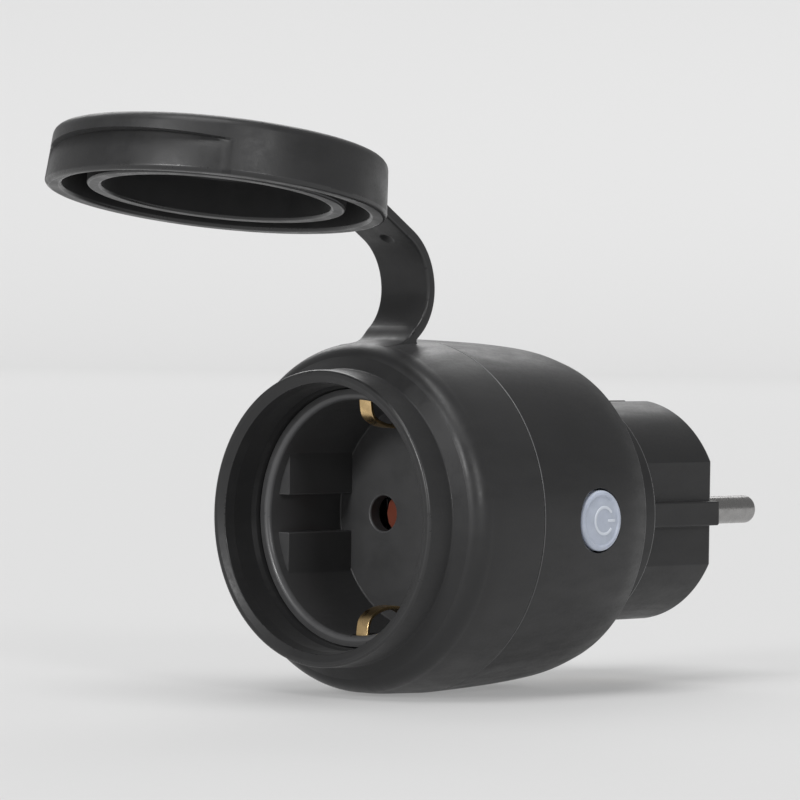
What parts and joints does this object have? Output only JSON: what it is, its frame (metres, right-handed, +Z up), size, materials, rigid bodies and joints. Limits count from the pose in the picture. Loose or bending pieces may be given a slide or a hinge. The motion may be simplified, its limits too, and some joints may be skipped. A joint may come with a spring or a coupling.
{
  "type": "smart plug",
  "caption": "Round plug-in switch with a mains plug at one end, a recessed socket at the other, a rubber cap on a strap, a side button and a relay board inside.",
  "frame": {"origin": "centre of the plug's face, which meets the wall socket", "axes": "+Y along the pins into the wall, socket opening towards -Y, +X towards the button, +Z up, on the strap's side"},
  "size_m": [0.0584, 0.1496, 0.0937],
  "materials": {
    "shell_plastic": "satin moulded PC/ABS, fine spark texture",
    "soft_rubber": "soft-touch TPE, matt with a satin sheen",
    "socket_plastic": "matt moulded plastic",
    "brass": "stamped and bent strip",
    "nickel": "nickel-plated brass, faint turning marks",
    "steel": "zinc-plated steel",
    "orange_plastic": "moulded plastic",
    "frosted_button": "translucent silicone, satin",
    "circuit_board": "green solder mask on glass epoxy",
    "relay_blue": "moulded case",
    "capacitor_yellow": "moulded box",
    "component_black": "moulded or sleeved",
    "varistor_red": "dipped epoxy coating",
    "earth_insulation": "green and yellow PVC"
  },
  "bodies": {
    "housing": {"rear_shell": "shell_plastic", "plug_body": "shell_plastic", "front_sleeve": "soft_rubber", "seam_gasket": "soft_rubber", "base_gasket": "soft_rubber", "socket_insert": "socket_plastic", "contact_carrier": "socket_plastic", "pin_left": "nickel", "pin_right": "nickel", "plug_earth_bracket": "brass", "socket_earth_bracket": "brass", "contact_left": "brass", "contact_right": "brass", "shutter_spring": "steel", "main_board": "circuit_board", "radio_board": "circuit_board", "button_board": "circuit_board", "relay": "relay_blue", "film_capacitor": "capacitor_yellow", "electrolytic_capacitor": "component_black", "inductor": "component_black", "fusible_resistor": "capacitor_yellow", "varistor": "varistor_red", "radio_shield": "steel", "board_header": "component_black", "switch_body": "component_black", "status_led": "frosted_button", "housing_screw_1": "steel", "housing_screw_2": "steel", "housing_screw_3": "steel", "earth_wire": "earth_insulation"},
    "strap_link_1": {"strap_link_1": "soft_rubber"},
    "strap_link_2": {"strap_link_2": "soft_rubber"},
    "strap_link_3": {"strap_link_3": "soft_rubber"},
    "strap_link_4": {"strap_link_4": "soft_rubber"},
    "strap_link_5": {"strap_link_5": "soft_rubber"},
    "cap": {"cap": "soft_rubber"},
    "button": {"button": "frosted_button", "switch_plunger": "component_black"},
    "shutter": {"shutter": "orange_plastic"}
  },
  "joints": [
    {"name": "strap_bend_1", "type": "hinge", "parent": "housing", "child": "strap_link_1", "pos_m": [0, -0.06182, 0.03104], "axis": [0.9996, 0.0258, 0.0075], "range_deg": [-15, 23.06], "stiffness_Nm_per_rad": 0.3, "springref_deg": -0.88},
    {"name": "strap_bend_2", "type": "hinge", "parent": "strap_link_1", "child": "strap_link_2", "pos_m": [-0.00007, -0.05977, 0.03397], "axis": [0.9996, 0.0258, 0.0075], "range_deg": [-12, 18.62], "stiffness_Nm_per_rad": 0.3, "springref_deg": -0.92},
    {"name": "strap_bend_3", "type": "hinge", "parent": "strap_link_2", "child": "strap_link_3", "pos_m": [-0.00012, -0.05907, 0.03748], "axis": [0.9996, 0.0258, 0.0075], "range_deg": [-9, 14.13], "stiffness_Nm_per_rad": 0.3, "springref_deg": -0.92},
    {"name": "strap_bend_4", "type": "hinge", "parent": "strap_link_3", "child": "strap_link_4", "pos_m": [-0.0001, -0.06188, 0.04457], "axis": [0.9996, 0.0258, 0.0075], "range_deg": [-6, 10.17], "stiffness_Nm_per_rad": 0.3, "springref_deg": -0.85},
    {"name": "strap_bend_5", "type": "hinge", "parent": "strap_link_4", "child": "strap_link_5", "pos_m": [0.00003, -0.06826, 0.04901], "axis": [0.9996, 0.0258, 0.0075], "range_deg": [-7, 13.92], "stiffness_Nm_per_rad": 0.3, "springref_deg": -0.73},
    {"name": "strap_bend_6", "type": "hinge", "parent": "strap_link_5", "child": "cap", "pos_m": [0.00016, -0.07453, 0.05293], "axis": [0.9996, 0.0258, 0.0075], "range_deg": [-8, 19.99], "stiffness_Nm_per_rad": 0.3, "springref_deg": -0.59},
    {"name": "button_press", "type": "slide", "parent": "housing", "child": "button", "axis": [-1, 0, 0], "range_m": [0, 0.0005], "stiffness_N_per_m": 900, "springref_m": -0.0008},
    {"name": "shutter_turn", "type": "hinge", "parent": "housing", "child": "shutter", "pos_m": [0, -0.0508, 0], "axis": [0, -1, 0], "range_deg": [0, 44], "stiffness_Nm_per_rad": 0.004, "springref_deg": -20.05}
  ]
}
